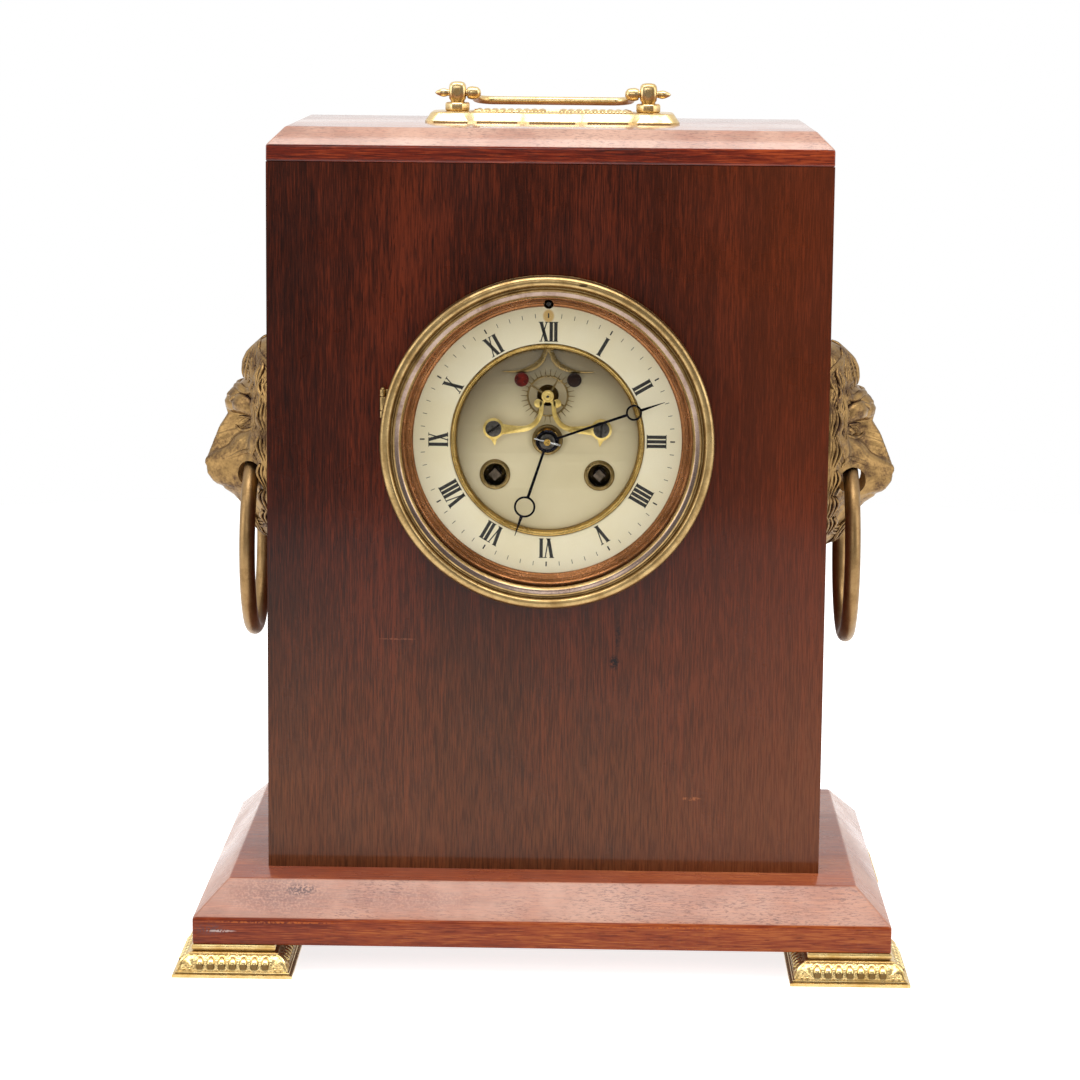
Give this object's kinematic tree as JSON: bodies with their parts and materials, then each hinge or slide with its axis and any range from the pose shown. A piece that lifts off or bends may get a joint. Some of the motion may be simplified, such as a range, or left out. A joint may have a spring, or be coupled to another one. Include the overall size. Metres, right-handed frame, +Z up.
{
  "type": "bracket clock",
  "caption": "Mahogany bracket clock on brass feet, with a hinged glass bezel, visible escapement, striking movement, lion masks with ring handles and a folding carrying handle.",
  "frame": {"origin": "middle of the footprint, on the surface that the feet stand on", "axes": "+Z up, the dial faces -Y, +X to the right of someone who reads the dial"},
  "size_m": [0.3278, 0.2284, 0.3927],
  "materials": {
    "mahogany": "polished, dark, vertical grain",
    "mahogany_red": "polished, redder, grain along the length",
    "foot_brass": "polished",
    "mask_brass": "cast, aged",
    "ring_brass": "drawn, aged bronze tone",
    "handle_brass": "polished",
    "bezel_brass": "polished, lacquered",
    "copper_brass": "polished, rose toned",
    "clear_glass": "clear",
    "enamel": "glossy ivory enamel",
    "enamel_centre": "glossy cream enamel",
    "movement_brass": "satin",
    "blue_steel": "heat blued",
    "steel": "polished",
    "jewel_red": "polished stone",
    "jewel_brown": "polished stone",
    "bell_metal": "turned bell metal"
  },
  "bodies": {
    "case": {"front_panel": "mahogany", "rear_panel": "mahogany", "left_side_panel": "mahogany", "right_side_panel": "mahogany", "plinth": "mahogany_red", "top_slab": "mahogany_red", "front_left_foot": "foot_brass", "front_right_foot": "foot_brass", "rear_left_foot": "foot_brass", "rear_right_foot": "foot_brass", "left_lion_mask": "mask_brass", "right_lion_mask": "mask_brass", "handle_plate": "handle_brass", "left_handle_post": "handle_brass", "right_handle_post": "handle_brass", "rear_ring": "bezel_brass", "bezel_seat": "copper_brass", "hour_ring": "enamel", "dial_centre": "enamel_centre", "dial_plate": "movement_brass", "centre_grommet": "movement_brass", "left_winding_grommet": "movement_brass", "right_winding_grommet": "movement_brass", "escapement_bridge": "movement_brass", "front_plate": "movement_brass", "back_plate": "movement_brass", "suspension_cock": "movement_brass", "left_bridge_screw": "steel", "right_bridge_screw": "steel", "bell_stand": "steel", "bell": "bell_metal"},
    "minute": {"centre_wheel": "movement_brass", "minute_hand": "blue_steel", "hand_washer": "steel", "hand_pin": "steel"},
    "hour": {"hour_hand": "blue_steel"},
    "motion_wheel": {"minute_wheel": "movement_brass"},
    "second_train": {"second_wheel": "movement_brass"},
    "going_drum": {"going_barrel": "movement_brass", "going_mainspring": "blue_steel"},
    "third_train": {"third_wheel": "movement_brass"},
    "escape": {"escape_wheel": "movement_brass"},
    "strike_drum": {"strike_barrel": "movement_brass", "strike_mainspring": "blue_steel"},
    "pin_train": {"strike_pin_wheel": "movement_brass"},
    "going_arbor": {"going_winding_arbor": "steel"},
    "strike_arbor": {"strike_winding_arbor": "steel"},
    "pendulum": {"pendulum_rod": "movement_brass", "pendulum_bob": "movement_brass"},
    "anchor": {"pallet_anchor": "steel", "left_pallet": "jewel_red", "right_pallet": "jewel_brown"},
    "hammer": {"strike_hammer": "steel"},
    "regulator": {"regulator_arbor": "steel"},
    "left_ring": {"left_ring_handle": "ring_brass"},
    "right_ring": {"right_ring_handle": "ring_brass"},
    "bail": {"carrying_bail": "handle_brass"},
    "front_door": {"bezel_door": "bezel_brass", "bezel_glass": "clear_glass"},
    "back_door": {"rear_door": "bezel_brass"}
  },
  "joints": [
    {"name": "minute_turn", "type": "hinge", "parent": "case", "child": "minute", "pos_m": [0, -0.04, 0.2367], "axis": [0, 1, 0], "continuous": true},
    {"name": "hour_turn", "type": "hinge", "parent": "case", "child": "hour", "pos_m": [0, -0.066, 0.2367], "axis": [0, 1, 0], "continuous": true},
    {"name": "motion_wheel_turn", "type": "hinge", "parent": "case", "child": "motion_wheel", "pos_m": [0, -0.06, 0.2247], "axis": [0, 1, 0], "continuous": true},
    {"name": "second_turn", "type": "hinge", "parent": "case", "child": "second_train", "pos_m": [0.00281, -0.04, 0.21771], "axis": [0, 1, 0], "continuous": true},
    {"name": "going_drum_turn", "type": "hinge", "parent": "case", "child": "going_drum", "pos_m": [0.0233, -0.04, 0.2208], "axis": [0, 1, 0], "continuous": true},
    {"name": "third_turn", "type": "hinge", "parent": "case", "child": "third_train", "pos_m": [0.01625, -0.04, 0.24748], "axis": [0, 1, 0], "continuous": true},
    {"name": "escape_turn", "type": "hinge", "parent": "case", "child": "escape", "pos_m": [0, -0.04, 0.2566], "axis": [0, 1, 0], "continuous": true},
    {"name": "strike_drum_turn", "type": "hinge", "parent": "case", "child": "strike_drum", "pos_m": [-0.0233, -0.04, 0.2208], "axis": [0, 1, 0], "continuous": true},
    {"name": "pin_turn", "type": "hinge", "parent": "case", "child": "pin_train", "pos_m": [-0.01864, -0.04, 0.24099], "axis": [0, 1, 0], "continuous": true},
    {"name": "going_winding", "type": "hinge", "parent": "case", "child": "going_arbor", "pos_m": [0.0233, -0.04, 0.2208], "axis": [0, 1, 0], "continuous": true},
    {"name": "strike_winding", "type": "hinge", "parent": "case", "child": "strike_arbor", "pos_m": [-0.0233, -0.04, 0.2208], "axis": [0, 1, 0], "continuous": true},
    {"name": "regulator_turn", "type": "hinge", "parent": "case", "child": "regulator", "pos_m": [0, -0.04, 0.2976], "axis": [0, 1, 0], "continuous": true},
    {"name": "pendulum_swing", "type": "hinge", "parent": "case", "child": "pendulum", "pos_m": [0, -0.0074, 0.2887], "axis": [0, 1, 0], "range_deg": [-1.74, 1.74]},
    {"name": "anchor_rock", "type": "hinge", "parent": "case", "child": "anchor", "pos_m": [0, -0.04, 0.2793], "axis": [0, 1, 0], "range_deg": [-2.3, 2.3]},
    {"name": "hammer_lift", "type": "hinge", "parent": "case", "child": "hammer", "pos_m": [-0.034, -0.02, 0.2487], "axis": [0, 1, 0], "range_deg": [0, 12], "stiffness_Nm_per_rad": 0.004, "springref_deg": -5.73},
    {"name": "left_ring_swing", "type": "hinge", "parent": "case", "child": "left_ring", "pos_m": [-0.1375, 0.0023, 0.2126], "axis": [0, 1, 0], "range_deg": [-4, 105]},
    {"name": "right_ring_swing", "type": "hinge", "parent": "case", "child": "right_ring", "pos_m": [0.1395, 0.0023, 0.2126], "axis": [0, -1, 0], "range_deg": [-4, 105]},
    {"name": "bail_lift", "type": "hinge", "parent": "case", "child": "bail", "pos_m": [0, 0.0023, 0.3875], "axis": [1, 0, 0], "range_deg": [0, 198]},
    {"name": "front_door_swing", "type": "hinge", "parent": "case", "child": "front_door", "pos_m": [-0.073, -0.07455, 0.2531], "axis": [0, 0, -1], "range_deg": [0, 105]},
    {"name": "back_door_swing", "type": "hinge", "parent": "case", "child": "back_door", "pos_m": [0.0597, 0.07815, 0.2367], "axis": [0, 0, -1], "range_deg": [0, 110]}
  ],
  "couplings": [
    {"joint": "hour_turn", "follows": "minute_turn", "ratio": 0.083333},
    {"joint": "motion_wheel_turn", "follows": "minute_turn", "ratio": -0.33333},
    {"joint": "second_turn", "follows": "minute_turn", "ratio": -0.14286},
    {"joint": "going_drum_turn", "follows": "minute_turn", "ratio": 0.02381},
    {"joint": "third_turn", "follows": "minute_turn", "ratio": -12},
    {"joint": "escape_turn", "follows": "minute_turn", "ratio": 150},
    {"joint": "pin_turn", "follows": "strike_drum_turn", "ratio": -6},
    {"joint": "anchor_rock", "follows": "pendulum_swing", "ratio": 1.3133}
  ]
}
